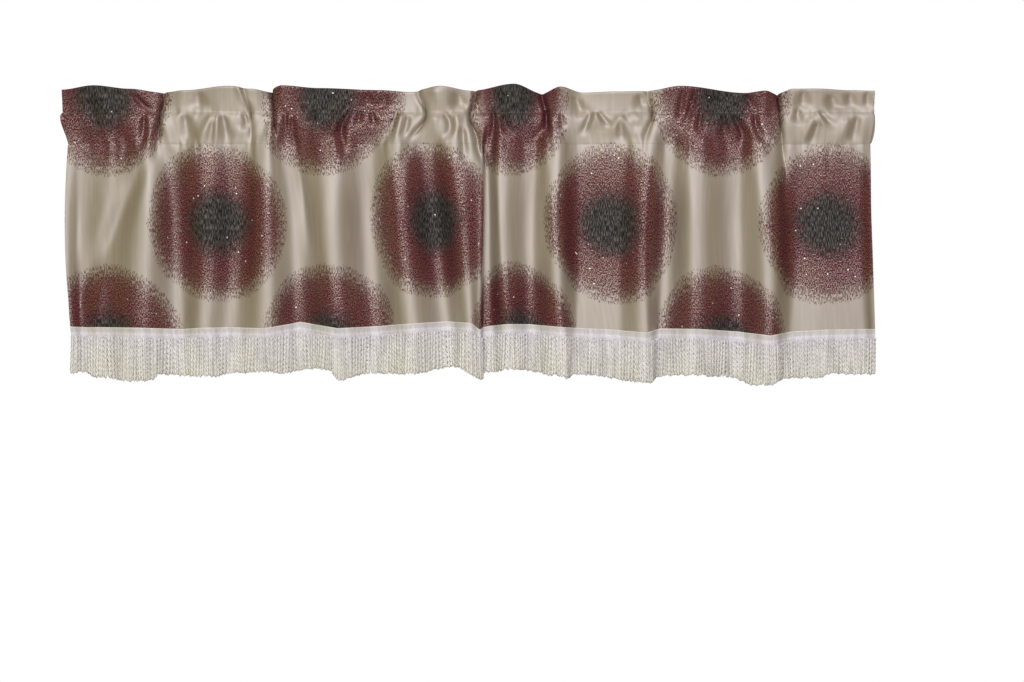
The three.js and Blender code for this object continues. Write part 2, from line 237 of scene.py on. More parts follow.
# Creases laid on the front of the cloth: x at their upper end, middle and lower end, how far
# below the top edge they start and end, their width, and their height towards the room, which
# CREASE_SPREAD and CREASE_BOLDNESS enlarge for all of them.
Crease = namedtuple("Crease", "top mid foot start end wide rise")
CREASE_ROWS = [
    # Left dot of the heading
    (-605, -600, -595, 12, 70, 6, -3),
    (-585, -582, -580, 8, 80, 8, 2.5),
    (-563, -565, -570, 36, 92, 7, -2.5),
    (-538, -524, -508, 4, 40, 5, -4),
    (-519, -521, -522, 38, 104, 5, -4),
    # First plain stretch of the heading
    (-491, -478, -466, 40, 124, 6, 3.5),
    (-456, -450, -440, 37, 102, 9, -4.5),
    (-409, -421, -433, 36, 96, 6, 4),
    (-410, -413, -416, 52, 100, 5, -2),
    (-401, -403, -406, 38, 98, 4, 3.5),
    (-395, -391, -387, 40, 90, 6, -3.5),
    (-364, -357, -366, 37, 72, 4, -4),
    (-362, -372, -380, 56, 108, 7, 2.5),
    (-434, -434, -432, 2, 39, 10, -4),
    (-371, -361, -349, -4, 32, 4, 3.5),
    # Second dot of the heading
    (-296, -294, -297, 34, 96, 5, -4),
    (-290, -290, -288, 38, 96, 4, 2.5),
    (-282, -284, -276, 42, 106, 5, -3.5),
    (-246, -252, -243, 34, 60, 5, -3.5),
    (-198, -214, -236, 28, 88, 5, 4),
    (-192, -206, -226, 32, 92, 5, -4),
    (-206, -204, -194, 38, 124, 6, -4),
    (-176, -178, -181, 34, 62, 4, -3),
    (-158, -155, -152, 34, 64, 4, -3),
    (-165, -163, -160, 2, 39, 9, -4),
    (-136, -140, -143, 4, 39, 9, -4),
    # Second plain stretch
    (-117, -126, -134, 40, 96, 6, -3),
    (-108, -116, -124, 36, 92, 6, 4),
    (-99, -105, -113, 40, 92, 5, -3.5),
    (-57, -55, -58, 38, 96, 9, 4),
    (-44, -32, -44, 36, 86, 5, -4.5),
    (-24, -22, -26, 36, 84, 6, 3),
    (-22, -18, -22, 2, 38, 9, -5),
    (-14, -11, -10, 58, 128, 6, -4),
    (-60, -50, -46, 0, 36, 11, 3.5),
    # Third dot of the heading
    (34, 38, 32, 30, 96, 5, -4.5),
    (43, 41, 37, 42, 94, 4, 3),
    (63, 55, 74, 32, 82, 5, -4),
    (121, 119, 100, 30, 90, 6, -5),
    (125, 127, 130, 34, 104, 4, 3.5),
    (42, 44, 48, 0, 38, 5, -3),
    (78, 76, 72, 4, 38, 6, 2),
    (143, 146, 142, 38, 68, 4, -3),
    # Third plain stretch
    (165, 173, 181, 4, 50, 8, -4.5),
    (193, 185, 176, 36, 78, 4, -4),
    (199, 194, 189, 36, 74, 4, 3),
    (196, 204, 213, 36, 66, 4, 3.5),
    (205, 213, 223, 36, 64, 4, -3),
    (238, 231, 222, 40, 78, 5, 3),
    (239, 247, 258, 40, 80, 5, 3),
    (239, 240, 240, 52, 92, 7, -3),
    (260, 262, 262, 36, 62, 6, 2.5),
    (270, 274, 280, 2, 39, 8, -4.5),
    # Fourth dot of the heading
    (358, 349, 338, 0, 76, 5, -4),
    (337, 335, 333, 2, 64, 5, -3),
    (374, 390, 406, 0, 32, 5, -4),
    (369, 364, 368, 34, 78, 5, -4),
    (409, 424, 432, 40, 94, 4, 2.5),
    (414, 432, 440, 36, 98, 6, -5),
    (402, 404, 402, 36, 88, 5, -3.5),
    (453, 458, 474, 38, 100, 5, -3.5),
    (440, 446, 452, 0, 38, 6, -3),
    # Last plain stretch
    (522, 521, 522, 30, 60, 6, -4),
    (549, 558, 570, 34, 66, 4, 4),
    (557, 566, 578, 34, 62, 4, -3),
    (546, 537, 528, 42, 92, 6, 3.5),
    (556, 548, 540, 50, 96, 6, -3.5),
    (600, 592, 582, 44, 96, 7, 3),
    (617, 612, 606, 42, 92, 6, -3),
    (530, 530, 528, 0, 39, 9, -5),
    (574, 579, 585, 6, 39, 9, -5),
    (604, 606, 609, 2, 39, 9, -4.5),
    (632, 632, 632, 0, 39, 6, -3),
    # Skirt
    (-518, -580, -680, 100, 400, 16, -6.3),
    (-276, -254, -222, 100, 380, 9, -3.2),
]
CREASES = [Crease(*row) for row in CREASE_ROWS]

# Where down the cloth a tight fold's place, depth and width are given, and how it widens there
PINCH_LEVELS = [0, RUFFLE + 4, LOWER_STITCH, LOWER_STITCH + 45, LOWER_STITCH + 120]
PINCH_WIDENING = [1.2, 1, 1.8, 2.4, 2.4]
PINCH_BOLDNESS = 1.4

# A crease widens downwards and fades at both ends. A ridge is a tent with a rounded crest.
CREASE_SPREAD = 1.35
CREASE_BOLDNESS = 1.65
NARROW_END = 0.5
BROAD_END = 1.4
FADE_IN = 0.2
FADE_OUT = 0.5
CREST_ROUNDNESS = 0.2
TENT_SPREAD = 1.7
TENT_CRISPNESS = 4
BACK_REACH = 14  # of creases on the pocket's back, from the stitching

# The groove that each row of stitching pulls into the cloth
SEAM_DEPTH = 0.4
SEAM_WIDTH = 1.6

# The woven dots: two interleaved rows, in places on the flat cloth.
DOT_RADIUS = 129
DOT_SPACING = 395
DOT_ROWS = 393
EVEN_DOT = (-496, 213)
ODD_DOT = (-693.5, 13)


# Lines and sheets


def smooth(t):
    t = np.clip(t, 0, 1)
    return t * t * (3 - 2 * t)


def eased(x, places, values):
    """A smooth curve through values at places, level at each of them."""
    places = np.asarray(places, float)
    values = np.asarray(values, float)
    after = np.clip(np.searchsorted(places, x), 1, len(places) - 1)
    share = (x - places[after - 1]) / (places[after] - places[after - 1])
    return values[after - 1] + (values[after] - values[after - 1]) * smooth(share)


def bowed(top, mid, foot, t):
    """A place on the bow through three places, and its slope, as t goes from 0 to 1."""
    bend = 2 * (top - 2 * mid + foot)
    turn = foot - top - bend
    return top + turn * t + bend * t * t, turn + 2 * bend * t


def column(table, name):
    return np.array([getattr(row, name) for row in table], float)


def flat_x(shares):
    """Places on the flat cloth, from its middle, at these shares of its width."""
    return (shares - 0.5) * FLAT_WIDTH


def fold_curve(knots):
    """Points of a line through the knots that faces the room at each, with steep flanks between."""
    t = np.linspace(0, 1, KNOT_STEPS, endpoint=False)[:, None]
    eased_share = smooth(t)
    share = eased_share + (smooth(eased_share) - eased_share) * FLANK_STEEPNESS
    along = np.concatenate([t, share, t], axis=1)
    spans = [a + (b - a) * along for a, b in zip(knots, knots[1:])]
    return np.vstack([*spans, knots[-1:]])


def between_points(wanted, along, points):
    """Points at the wanted places of a line whose points lie at places along it."""
    return np.stack([np.interp(wanted, along, points[:, k]) for k in range(3)], -1)


def at_shares(points, shares):
    """Points at these shares of a line's length."""
    lengths = np.linalg.norm(np.diff(points, axis=0), axis=1)
    along = np.concatenate([[0], np.cumsum(lengths)])
    return between_points(shares * along[-1], along, points)


def skirt_line(v):
    """The line that the cloth follows at one level, v from 0 at the stitching to 1 at the hem."""
    top, mid, hem, rise, drop = (column(FOLDS, name) for name in Fold._fields)
    x, _ = bowed(top, mid, hem, v)
    held = np.where(rise > 0, TOP_SHARE, GROOVE_TOP_SHARE)
    share = held + (1 - held) * smooth(v / FULL_RISE_AT)
    z = -LOWER_STITCH - SKIRT_DROP * v - drop * v
    return fold_curve(np.stack([x, -rise * share, z], -1))


# Small gathers beside the stitching


class UnevenWave:
    """A wave along the flat cloth whose crests differ in spacing, height and reach."""

    STARTS_AT = -0.55 * FLAT_WIDTH
    COVERS = 1.6 * FLAT_WIDTH
    SPACINGS = (0.45, 1.55)
    HEIGHTS = (0.35, 1)
    REACHES = (0.4, 1.7)

    def __init__(self, spacing, seed):
        rng = np.random.default_rng(seed)
        count = int(self.COVERS / spacing)
        self.places = self.STARTS_AT + np.cumsum(spacing * rng.uniform(*self.SPACINGS, count))
        self.heights = rng.uniform(*self.HEIGHTS, count) * (-1) ** np.arange(count)
        self.reaches = rng.uniform(*self.REACHES, count)

    def height(self, flat):
        return eased(flat, self.places, self.heights)

    def reach(self, flat):
        return eased(flat, self.places, self.reaches)


GATHERS = UnevenWave(13, SEED)
GATHER_DEPTH = 0.85
FINE_GATHERS = UnevenWave(6, SEED + 1)
FINE_GATHER_DEPTH = 0.3

# How far the gathers and the fine gathers reach from a row of stitching
RUFFLE_REACH = 13
RUFFLE_FINE_REACH = 6
POCKET_TOP_REACH = 12
POCKET_FOOT_REACH = 14
SKIRT_REACH = 22
SKIRT_FINE_REACH = 8

# How far the gathers stray along the cloth, up the ruffle and half way up the pocket
RUFFLE_SLANT = 5
POCKET_STRAY = 7


def gathered(flat, near, near_fine, stray=0):
    """How far the gathers stand out, given how near each point is to the stitching."""
    broad = GATHER_DEPTH * near * GATHERS.height(flat + stray)
    return broad + FINE_GATHER_DEPTH * near_fine * FINE_GATHERS.height(flat)


# The heading and the skirt before their creases

HeadingLine = namedtuple("HeadingLine", "flat foot head_x rise lift")


def heading_line(shares):
    """What the heading's layers share, for each column of the cloth."""
    flat = flat_x(shares)
    foot = at_shares(skirt_line(0), shares)
    head_x = np.interp(flat, column(RUFFLE_SHARES, "flat"), column(RUFFLE_SHARES, "hung"))
    rise = eased(head_x, column(PUFFS, "x"), column(PUFFS, "rise"))
    lift = eased(head_x, column(PUFFS, "x"), column(PUFFS, "lift"))
    return HeadingLine(flat, foot, head_x, rise, lift)


def grid_of(x, y, z):
    return np.stack(np.broadcast_arrays(x, y, z), -1).copy()


def ruffle_layer(shares, up, side):
    """The ruffle at shares of the way up from its stitching; side -1 is its front layer."""
    line = heading_line(shares)
    up = up[:, None]
    middle = -line.rise * (PINCH_SHARE + (1 - PINCH_SHARE) * up) - RUFFLE_LEAN * up**2
    spread = CLOTH / 2 + LAYER_GAP / 2 * np.sin(np.pi * up)
    near = np.exp(-up * RUFFLE / RUFFLE_REACH)
    near_fine = np.exp(-up * RUFFLE / RUFFLE_FINE_REACH)
    out = gathered(line.flat, near, near_fine, RUFFLE_SLANT * up)
    y = middle - out + CLOTH / 2 + side * spread
    z = -RUFFLE + up * (RUFFLE - FOLD_OVER + line.lift)
    return grid_of(line.head_x, y, z)


def front_fullness(up):
    """How full the pocket's front is: flush with the skirt below, steep under the ruffle."""
    above = np.clip((up - FULLEST_AT) / (1 - FULLEST_AT), 0, 1)
    return smooth(up / FULLEST_AT) * (1 - above**FRONT_STEEPNESS)


def pocket_wall(line, up, fullness, follows, flare, depth):
    """A wall of the rod pocket, which follows the folds by a share where it is fullest."""
    stitched = line.foot[:, 1] * (1 - up) - PINCH_SHARE * line.rise * up
    near_top = np.exp(-(1 - up) * POCKET / POCKET_TOP_REACH)
    near = near_top + np.exp(-up * POCKET / POCKET_FOOT_REACH)
    out = gathered(line.flat, near, near**2, POCKET_STRAY * np.sin(np.pi * up))
    x = line.foot[:, 0] + (line.head_x - line.foot[:, 0]) * up + flare * fullness
    y = stitched * (1 - fullness * (1 - follows)) + fullness * depth - out
    return grid_of(x, y, -LOWER_STITCH + up * POCKET)


def pocket_front(shares, up):
    """The pocket's front at shares of the way up: it keeps part of the folds and puckers."""
    line = heading_line(shares)
    up = up[:, None]
    flare = -LEFT_BULGE * (1 - smooth(shares / BULGE_REACH))
    depth = POCKET_FRONT + (line.rise - DEEPEST_PINCH) * PUCKER_SHARE
    return pocket_wall(line, up, front_fullness(up), FRONT_FOLLOWS, flare, -depth)


def pocket_back(shares, up):
    """The pocket's back at shares of the way up: it stands off evenly, clear of the folds."""
    line = heading_line(shares)
    up = up[:, None]
    fullness = np.sin(np.pi * up) ** POCKET_SQUARENESS
    left = 1 - smooth(shares / BULGE_REACH)
    right = smooth((shares - 1 + BULGE_REACH) / BULGE_REACH)
    flare = RIGHT_BULGE * right - LEFT_BULGE * left
    wall = pocket_wall(line, up, fullness, 0, flare, POCKET_BACK)
    wall[..., 1] += CLOTH
    return wall


def skirt_layer(shares, levels):
    """The skirt at these levels, 0 at the stitching and 1 at the hem."""
    flat = flat_x(shares)
    points = np.array([at_shares(skirt_line(v), shares) for v in levels])
    below = (levels * SKIRT_DROP)[:, None]
    near = np.exp(-below / (SKIRT_REACH * GATHERS.reach(flat)))
    points[..., 1] -= gathered(flat, near, np.exp(-below / SKIRT_FINE_REACH))
    return points


# Creases and tight folds


def crease_height(x, down, crease):
    """The height at each point of a crisp ridge or a soft trough that fades at both ends."""
    length = crease.end - crease.start
    t = np.clip((down - crease.start) / length, 0, 1)
    middle, turn = bowed(crease.top, crease.mid, crease.foot, t)
    wide = crease.wide * CREASE_SPREAD * (NARROW_END + (BROAD_END - NARROW_END) * t)
    aside = (x - middle) / np.hypot(1, turn / length) / wide
    if crease.rise > 0:
        inside = 1 - np.hypot(aside / TENT_SPREAD, CREST_ROUNDNESS)
        shape = np.logaddexp(0, TENT_CRISPNESS * inside) / TENT_CRISPNESS
    else:
        shape = np.exp(-(aside**2))
    fade = smooth(t / FADE_IN) * smooth((1 - t) / FADE_OUT)
    return crease.rise * CREASE_BOLDNESS * fade * shape


def fold_pinches(points, down):
    """Presses the tight folds of the heading into the cloth."""
    x = points[..., 0].copy()
    widening = eased(down, PINCH_LEVELS, PINCH_WIDENING)
    for pinch in PINCHES:
        places = [pinch.top, pinch.upper, pinch.lower, pinch.foot, pinch.foot]
        depths = [pinch.at_top, pinch.at_pocket, pinch.at_foot, pinch.at_foot / 2, 0]
        aside = (x - eased(down, PINCH_LEVELS, places)) / (pinch.wide * widening)
        depth = PINCH_BOLDNESS * eased(down, PINCH_LEVELS, depths)
        points[..., 1] += depth * np.exp(-(aside**2))
        lean = pinch.lean * depth / pinch.at_pocket
        points[..., 0] += lean * np.exp(-((aside + np.sign(pinch.lean)) ** 2))


def lay_creases(points, down):
    """Presses the creases and tight folds into a grid of cloth."""
    x = points[..., 0].copy()
    down = np.broadcast_to(down[:, None], x.shape)
    for crease in CREASES:
        points[..., 1] -= crease_height(x, down, crease)
    fold_pinches(points, down)
    return points


def crease_front(points, down):
    """The front takes every crease, and sinks a little along the two rows of stitching."""
    points = lay_creases(points, down)
    for row in (RUFFLE, LOWER_STITCH):
        points[..., 1] += (SEAM_DEPTH * np.exp(-(((down - row) / SEAM_WIDTH) ** 2)))[:, None]
    return points


def crease_back(points, down):
    """The ruffle's back layer takes its creases; the pocket's back wall hangs clear of them."""
    creased = lay_creases(points.copy(), down)
    above = smooth((RUFFLE + BACK_REACH - down) / BACK_REACH)
    below = smooth((down - LOWER_STITCH + BACK_REACH) / BACK_REACH)
    return points + (creased - points) * (above + below)[:, None, None]


# Meshes


def add_object(name, vertices, faces, materials, material_of_face=None, sharp=()):
    mesh = bpy.data.meshes.new(name)
    mesh.from_pydata((np.asarray(vertices) * MM).tolist(), [], np.asarray(faces).tolist())
    mesh.update()
    for material in materials:
        mesh.materials.append(material)
    if material_of_face is not None:
        mesh.polygons.foreach_set("material_index", np.asarray(material_of_face, np.int32))
    mesh.polygons.foreach_set("use_smooth", np.ones(len(mesh.polygons), bool))
    if len(sharp):
        wanted = {frozenset(pair) for pair in sharp}
        flags = [frozenset(edge.vertices) in wanted for edge in mesh.edges]
        mesh.edges.foreach_set("use_edge_sharp", np.array(flags, bool))
    obj = bpy.data.objects.new(name, mesh)
    bpy.context.scene.collection.objects.link(obj)
    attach(obj, "root")
    return obj


def set_flat_uvs(obj, flat):
    """Stores each vertex's place on the flat cloth, in metres, as the UV map."""
    layer = obj.data.uv_layers.new(name="flat")
    loops = np.empty(len(obj.data.loops), np.int32)
    obj.data.loops.foreach_get("vertex_index", loops)
    layer.data.foreach_set("uv", (np.asarray(flat)[loops] * MM).astype(np.float32).ravel())


def flat_grid(shares, down):
    """Places on the pattern for a grid of cloth, slipped along beside the deep fold."""
    u, v = np.meshgrid(flat_x(shares), down)
    level = (v - LOWER_STITCH) / SKIRT_DROP
    tucked = 1 - smooth((level - TUCK_ENDS) / (1 - TUCK_ENDS))
    slip = eased(u, column(SLIPS, "flat"), column(SLIPS, "along"))
    return np.stack([u + tucked * slip, v], -1)


def normals_of(points):
    """Unit normals of a grid of points, out of the face that looks into the room."""
    across = np.gradient(points, axis=1)
    down = np.gradient(points, axis=0)
    normal = np.cross(down, across)
    return normal / np.linalg.norm(normal, axis=-1, keepdims=True)


def grid_faces(index):
    corners = [index[:-1, :-1], index[1:, :-1], index[1:, 1:], index[:-1, 1:]]
    return np.stack(corners, -1).reshape(-1, 4)


def rim_of(index):
    """The vertices around a grid's edge, in order."""
    return np.concatenate([index[0, ::-1], index[1:, 0], index[-1, 1:], index[-2:0:-1, -1]])


def cloth_sheet(name, points, flat, thickness, face, reverse):
    """A thin closed sheet on a grid of points, with its face towards their normals."""
    half = np.broadcast_to(np.asarray(thickness) / 2, points.shape[:2])[..., None]
    offset = normals_of(points) * half
    vertices = np.vstack([(points + offset).reshape(-1, 3), (points - offset).reshape(-1, 3)])
    count = len(vertices) // 2
    index = np.arange(count).reshape(points.shape[:2])
    front_faces = grid_faces(index)
    back_faces = front_faces[:, ::-1] + count
    rim = rim_of(index)
    ahead = np.roll(rim, -1)
    rim_faces = np.stack([rim, ahead, ahead + count, rim + count], -1)[:, ::-1]
    faces = np.vstack([front_faces, back_faces, rim_faces])
    of_face = np.repeat([0, 1, 0], [len(front_faces), len(back_faces), len(rim_faces)])
    rim_edges = np.stack([rim, ahead], -1)
    sharp = np.vstack([rim_edges, rim_edges + count])
    obj = add_object(name, vertices, faces, [face, reverse], of_face, sharp)
    set_flat_uvs(obj, np.vstack([flat.reshape(-1, 2)] * 2))
    return obj


# Materials

# Noise with so many waves to a metre across the cloth and down it
Grain = namedtuple("Grain", "across down detail roughness", defaults=(2.0, 0.5))

# A stretch of values that maps smoothly onto another
Span = namedtuple("Span", "low high to_low to_high", defaults=(0.0, 1.0))


class Nodes:
    """A short way to write a material's node tree."""

    def __init__(self, name):
        self.material = bpy.data.materials.new(name)
        self.material.use_nodes = True
        self.tree = self.material.node_tree
        self.shader = self.tree.nodes["Principled BSDF"]

    def put(self, socket, value):
        if isinstance(value, bpy.types.NodeSocket):
            self.tree.links.new(value, socket)
        else:
            socket.default_value = value

    def node(self, kind, inputs=(), output=0, **settings):
        made = self.tree.nodes.new(kind)
        for key, value in settings.items():
            setattr(made, key, value)
        for key, value in dict(inputs).items():
            self.put(made.inputs[key], value)
        return made.outputs[output]

    def math(self, operation, a, b=0.0, c=0.0):
        return self.node("ShaderNodeMath", {0: a, 1: b, 2: c}, operation=operation)

    def vector(self, operation, a, b=(0, 0, 0), c=(0, 0, 0), output="Vector"):
        inputs = {0: a, 1: b, 2: c}
        return self.node("ShaderNodeVectorMath", inputs, output, operation=operation)

    def span(self, value, span):
        ends = zip(("From Min", "From Max", "To Min", "To Max"), span)
        inputs = {"Value": value, **dict(ends)}
        return self.node("ShaderNodeMapRange", inputs, interpolation_type="SMOOTHSTEP")

    def mix(self, share, a, b):
        """A colour that goes from a to b as the share goes from 0 to 1."""
        return self.node("ShaderNodeMix", {0: share, 6: a, 7: b}, 2, data_type="RGBA")

    def between(self, share, a, b):
        """A number that goes from a to b as the share goes from 0 to 1."""
        return self.node("ShaderNodeMix", {0: share, 2: a, 3: b})

    def stretch(self, place, across, down):
        return self.vector("MULTIPLY", place, (across, down, 1))

    def noise(self, place, scale, detail=2.0, roughness=0.5, output="Fac"):
        inputs = {"Vector": place, "Scale": scale, "Detail": detail, "Roughness": roughness}
        return self.node("ShaderNodeTexNoise", inputs, output)

    def grain(self, place, grain):
        stretched = self.stretch(place, grain.across, grain.down)
        return self.noise(stretched, 1.0, grain.detail, grain.roughness)

    def bump(self, height, strength, depth):
        inputs = {"Height": height, "Strength": strength, "Distance": depth * MM}
        return self.node("ShaderNodeBump", inputs, "Normal")

    def finish(self, **sockets):
        for key, value in sockets.items():
            self.put(self.shader.inputs[key.replace("_", " ")], value)
        return self.material


def rgb(r, g, b):
    return (r, g, b, 1)


# The satin's champagne ground
GROUND = rgb(0.51, 0.458, 0.366)
GROUND_WISP = rgb(0.55, 0.5, 0.406)
WISPS = Grain(160, 14, 3.0)
IN_WISP = Span(0.42, 0.72)
GROUND_METAL = 0.94
GROUND_ROUGH = 0.84
GROUND_LUSTRE = 0.75

# The dots' threads, with distances in dot radii: they thin out into strokes at an uneven rim
RED = rgb(0.085, 0.003, 0.012)
RED_LIGHT = rgb(0.106, 0.006, 0.017)
RIM_RED = rgb(0.11, 0.036, 0.03)
CHARCOAL = rgb(0.012, 0.011, 0.011)
DOT_WOBBLE = 14
WOBBLES_PER_METRE = 22
WOBBLE_DETAIL = 3
THREADS = Grain(620, 75, 3.0)
LIGHT_THREADS = Span(0.45, 0.75)
STROKES = Grain(720, 170, 2.0, 0.6)
MEAN_STROKE = 0.5
STROKE_EDGE = Span(-0.03, 0.03)
COVER = Span(0.56, 1.06, 0.78, 0.45)
COVER_END = Span(0.96, 1.07, 1.0, 0.0)
NEAR_RIM = Span(0.78, 1.0)
IN_CORE = Span(0.48, 0.3)
CORE_FEATHER = 0.9
THREAD_ROUGH = 0.7

# Lustrous beige flecks between the threads, fine in the red and drawn out in the middle
FLECK = rgb(0.325, 0.3, 0.24)
FLECK_ROUGH = 0.5
RED_FLECKS = Grain(1000, 420, 1.0)
IN_RED_FLECK = Span(0.51, 0.64)
FLECKS_OUTWARDS = 0.1
FLECKS_EVEN_AT = 0.5
CORE_FLECKS = Grain(950, 120, 1.0)
IN_CORE_FLECK = Span(0.46, 0.64, 0.0, 0.34)

# Painted glints: white specks in the dots' colour, standing for metallic yarn catching the light,
# scattered in patches
PAINTED_GLINT = rgb(0.95, 0.93, 0.9)
GLINTS_PER_METRE = 70
IN_GLINT = Span(0.09, 0.06)
GLINT_PATCHES = Grain(55, 55, 1.0)
IN_PATCH = Span(0.5, 0.54)
IN_DOT = Span(1.0, 0.8)

# The weave's fine relief
TWILL_PER_METRE = 900
TWILL_UNEVENNESS = 2
TWILL_SHARE = 0.4
WEAVE_RELIEF = 0.12
WEAVE_DEPTH = 0.4

# The reverse, whose loose threads dull the pattern
REVERSE_DULL = rgb(0.3, 0.25, 0.19)
REVERSE_VEIL = 0.45


def dot_distance(n, place):
    """How far a place is from the middle of the nearest dot, in dot radii."""
    wobble = n.noise(place, WOBBLES_PER_METRE, WOBBLE_DETAIL, output="Color")
    reach = DOT_WOBBLE * MM
    shifted = n.vector("MULTIPLY_ADD", wobble, (reach, reach, 0), place)
    half = (DOT_SPACING * MM / 2, DOT_ROWS * MM / 2, 1)
    distances = []
    for flat, down in (EVEN_DOT, ODD_DOT):
        middle = (flat * MM + reach / 2, down * MM + reach / 2, 0)
        from_dot = n.vector("SUBTRACT", shifted, middle)
        wrapped = n.vector("WRAP", from_dot, half, tuple(-h for h in half))
        distances.append(n.vector("LENGTH", wrapped, output="Value"))
    nearest = n.math("MINIMUM", *distances)
    return n.math("DIVIDE", nearest, DOT_RADIUS * MM)


def thread_cover(n, radius, strokes):
    """Where the dots' threads cover the ground."""
    until = n.math("MULTIPLY", n.span(radius, COVER), n.span(radius, COVER_END))
    return n.span(n.math("SUBTRACT", until, strokes), STROKE_EDGE)


def dot_core(n, radius, strokes):
    """Where the dots are charcoal, with an edge that is feathered along the strokes."""
    stroke = n.math("SUBTRACT", strokes, MEAN_STROKE)
    return n.span(n.math("MULTIPLY_ADD", stroke, CORE_FEATHER, radius), IN_CORE)


def thread_colour(n, radius, threads, in_core):
    red = n.mix(n.span(threads, LIGHT_THREADS), RED, RED_LIGHT)
    red = n.mix(n.span(radius, NEAR_RIM), red, RIM_RED)
    return n.mix(in_core, red, CHARCOAL)


def dot_flecks(n, place, radius, in_core):
    outwards = n.math("SUBTRACT", radius, FLECKS_EVEN_AT)
    red_flecks = n.grain(place, RED_FLECKS)
    red_flecks = n.math("MULTIPLY_ADD", outwards, FLECKS_OUTWARDS, red_flecks)
    core_flecks = n.grain(place, CORE_FLECKS)
    return n.between(in_core, n.span(red_flecks, IN_RED_FLECK), n.span(core_flecks, IN_CORE_FLECK))


# Where the painted glints lie: white specks that stand for light caught by metallic yarn
def painted_glints(n, place, radius):
    cells = {"Vector": n.stretch(place, GLINTS_PER_METRE, GLINTS_PER_METRE), "Scale": 1.0}
    from_glint = n.node("ShaderNodeTexVoronoi", cells, "Distance", feature="F1")
    in_patch = n.span(n.grain(place, GLINT_PATCHES), IN_PATCH)
    where = n.math("MULTIPLY", n.span(radius, IN_DOT), in_patch)
    return n.math("MULTIPLY", n.span(from_glint, IN_GLINT), where)


def weave_bump(n, place, threads):
    stretched = n.stretch(place, TWILL_PER_METRE, TWILL_PER_METRE)
    twill = n.node(
        "ShaderNodeTexWave",
        {"Vector": stretched, "Scale": 1.0, "Distortion": TWILL_UNEVENNESS},
        "Fac",
        wave_type="BANDS",
        bands_direction="DIAGONAL",
    )
    relief = n.math("MULTIPLY_ADD", twill, TWILL_SHARE, threads)
    return n.bump(relief, WEAVE_RELIEF, WEAVE_DEPTH)


Weave = namedtuple("Weave", "colour bump covered fleck")


def weave(n):
    """The cloth's colours and relief, where threads cover its ground, and where they are flecked."""
    uv = n.node("ShaderNodeUVMap", uv_map="flat")
    place = n.vector("MULTIPLY", uv, (1, 1, 0))
    radius = dot_distance(n, place)
    threads = n.grain(place, THREADS)
    strokes = n.grain(place, STROKES)
    covered = thread_cover(n, radius, strokes)
    in_core = dot_core(n, radius, strokes)
    fleck = dot_flecks(n, place, radius, in_core)
    thread = n.mix(fleck, thread_colour(n, radius, threads, in_core), FLECK)
    ground = n.mix(n.span(n.grain(place, WISPS), IN_WISP), GROUND, GROUND_WISP)
    colour = n.mix(covered, ground, thread)
    # Painted glints over the dots
    colour = n.mix(painted_glints(n, place, radius), colour, PAINTED_GLINT)
    return Weave(colour, weave_bump(n, place, threads), covered, fleck)


def satin_face():
    """Champagne satin with a silky lustre, and woven dots that are duller but for their flecks."""
    n = Nodes("satin_face")
    cloth = weave(n)
    dot_rough = n.between(cloth.fleck, THREAD_ROUGH, FLECK_ROUGH)
    return n.finish(
        Base_Color=cloth.colour,
        Roughness=n.between(cloth.covered, GROUND_ROUGH, dot_rough),
        Normal=cloth.bump,
        Specular_IOR_Level=0.15,
        Metallic=n.between(cloth.covered, GROUND_METAL, cloth.fleck),
        Coat_Weight=n.between(cloth.covered, GROUND_LUSTRE, 0.0),
        Coat_IOR=2.0,
        Coat_Roughness=0.54,
        Anisotropic=0.4,
        Anisotropic_Rotation=0.25,
        Tangent=n.node("ShaderNodeTangent", direction_type="UV_MAP", uv_map="flat"),
    )


def satin_reverse():
    """The dull reverse of the cloth, where the dots show faintly."""
    n = Nodes("satin_reverse")
    cloth = weave(n)
    return n.finish(
        Base_Color=n.mix(REVERSE_VEIL, cloth.colour, REVERSE_DULL),
        Roughness=0.75,
        Normal=cloth.bump,
        Specular_IOR_Level=0.15,
    )


# The ivory yarn: its tones down the cloth, painted shade along its twist, and uneven tone in clumps
# and streaks
Tone = namedtuple("Tone", "down colour")
BRIGHT = rgb(0.73, 0.715, 0.69)
CREAM = rgb(0.75, 0.735, 0.665)
YELLOWED = rgb(0.745, 0.735, 0.64)
STRAND_TONES = [Tone(398, BRIGHT), Tone(422, CREAM), Tone(452, YELLOWED)]
BRAID_EDGE = rgb(0.69, 0.665, 0.6)
BRAID_GREY = rgb(0.6, 0.58, 0.53)
BRAID_FOOT = rgb(0.7, 0.675, 0.68)
BRAID_TONES = [
    Tone(381, BRAID_EDGE),
    Tone(382.5, BRAID_GREY),
    Tone(386.5, BRAID_GREY),
    Tone(389, BRAID_FOOT),
]
# The sewing thread is dark brown: partly its own colour, and partly painted shade of the groove that
# each row of stitching pulls in
THREAD_AND_SEAM_SHADE_TONES = [Tone(0, rgb(0.16, 0.13, 0.1))]
# The dark that is mixed in: painted shade in flecks for the grooves of the twist, and uneven tone in
# clumps and streaks
YARN_DARK_AND_TWIST_SHADE = rgb(0.1, 0.1, 0.08)
TWISTS = Grain(420, 110)
IN_TWIST = Span(0.62, 0.35, 0.0, 0.12)
CLUMPS = Grain(80, 8)
IN_CLUMP = Span(0.42, 0.62, 0.0, 0.15)
STREAKS = Grain(210, 3, 1.0)
IN_STREAK = Span(0.4, 0.62, 0.0, 0.07)
FIBRES = Grain(2600, 500)
FIBRE_ROUGH = Span(0.2, 0.8, 0.5, 0.7)
FIBRE_RELIEF = 0.25
FIBRE_DEPTH = 0.3
DULL_PLY = 0.03


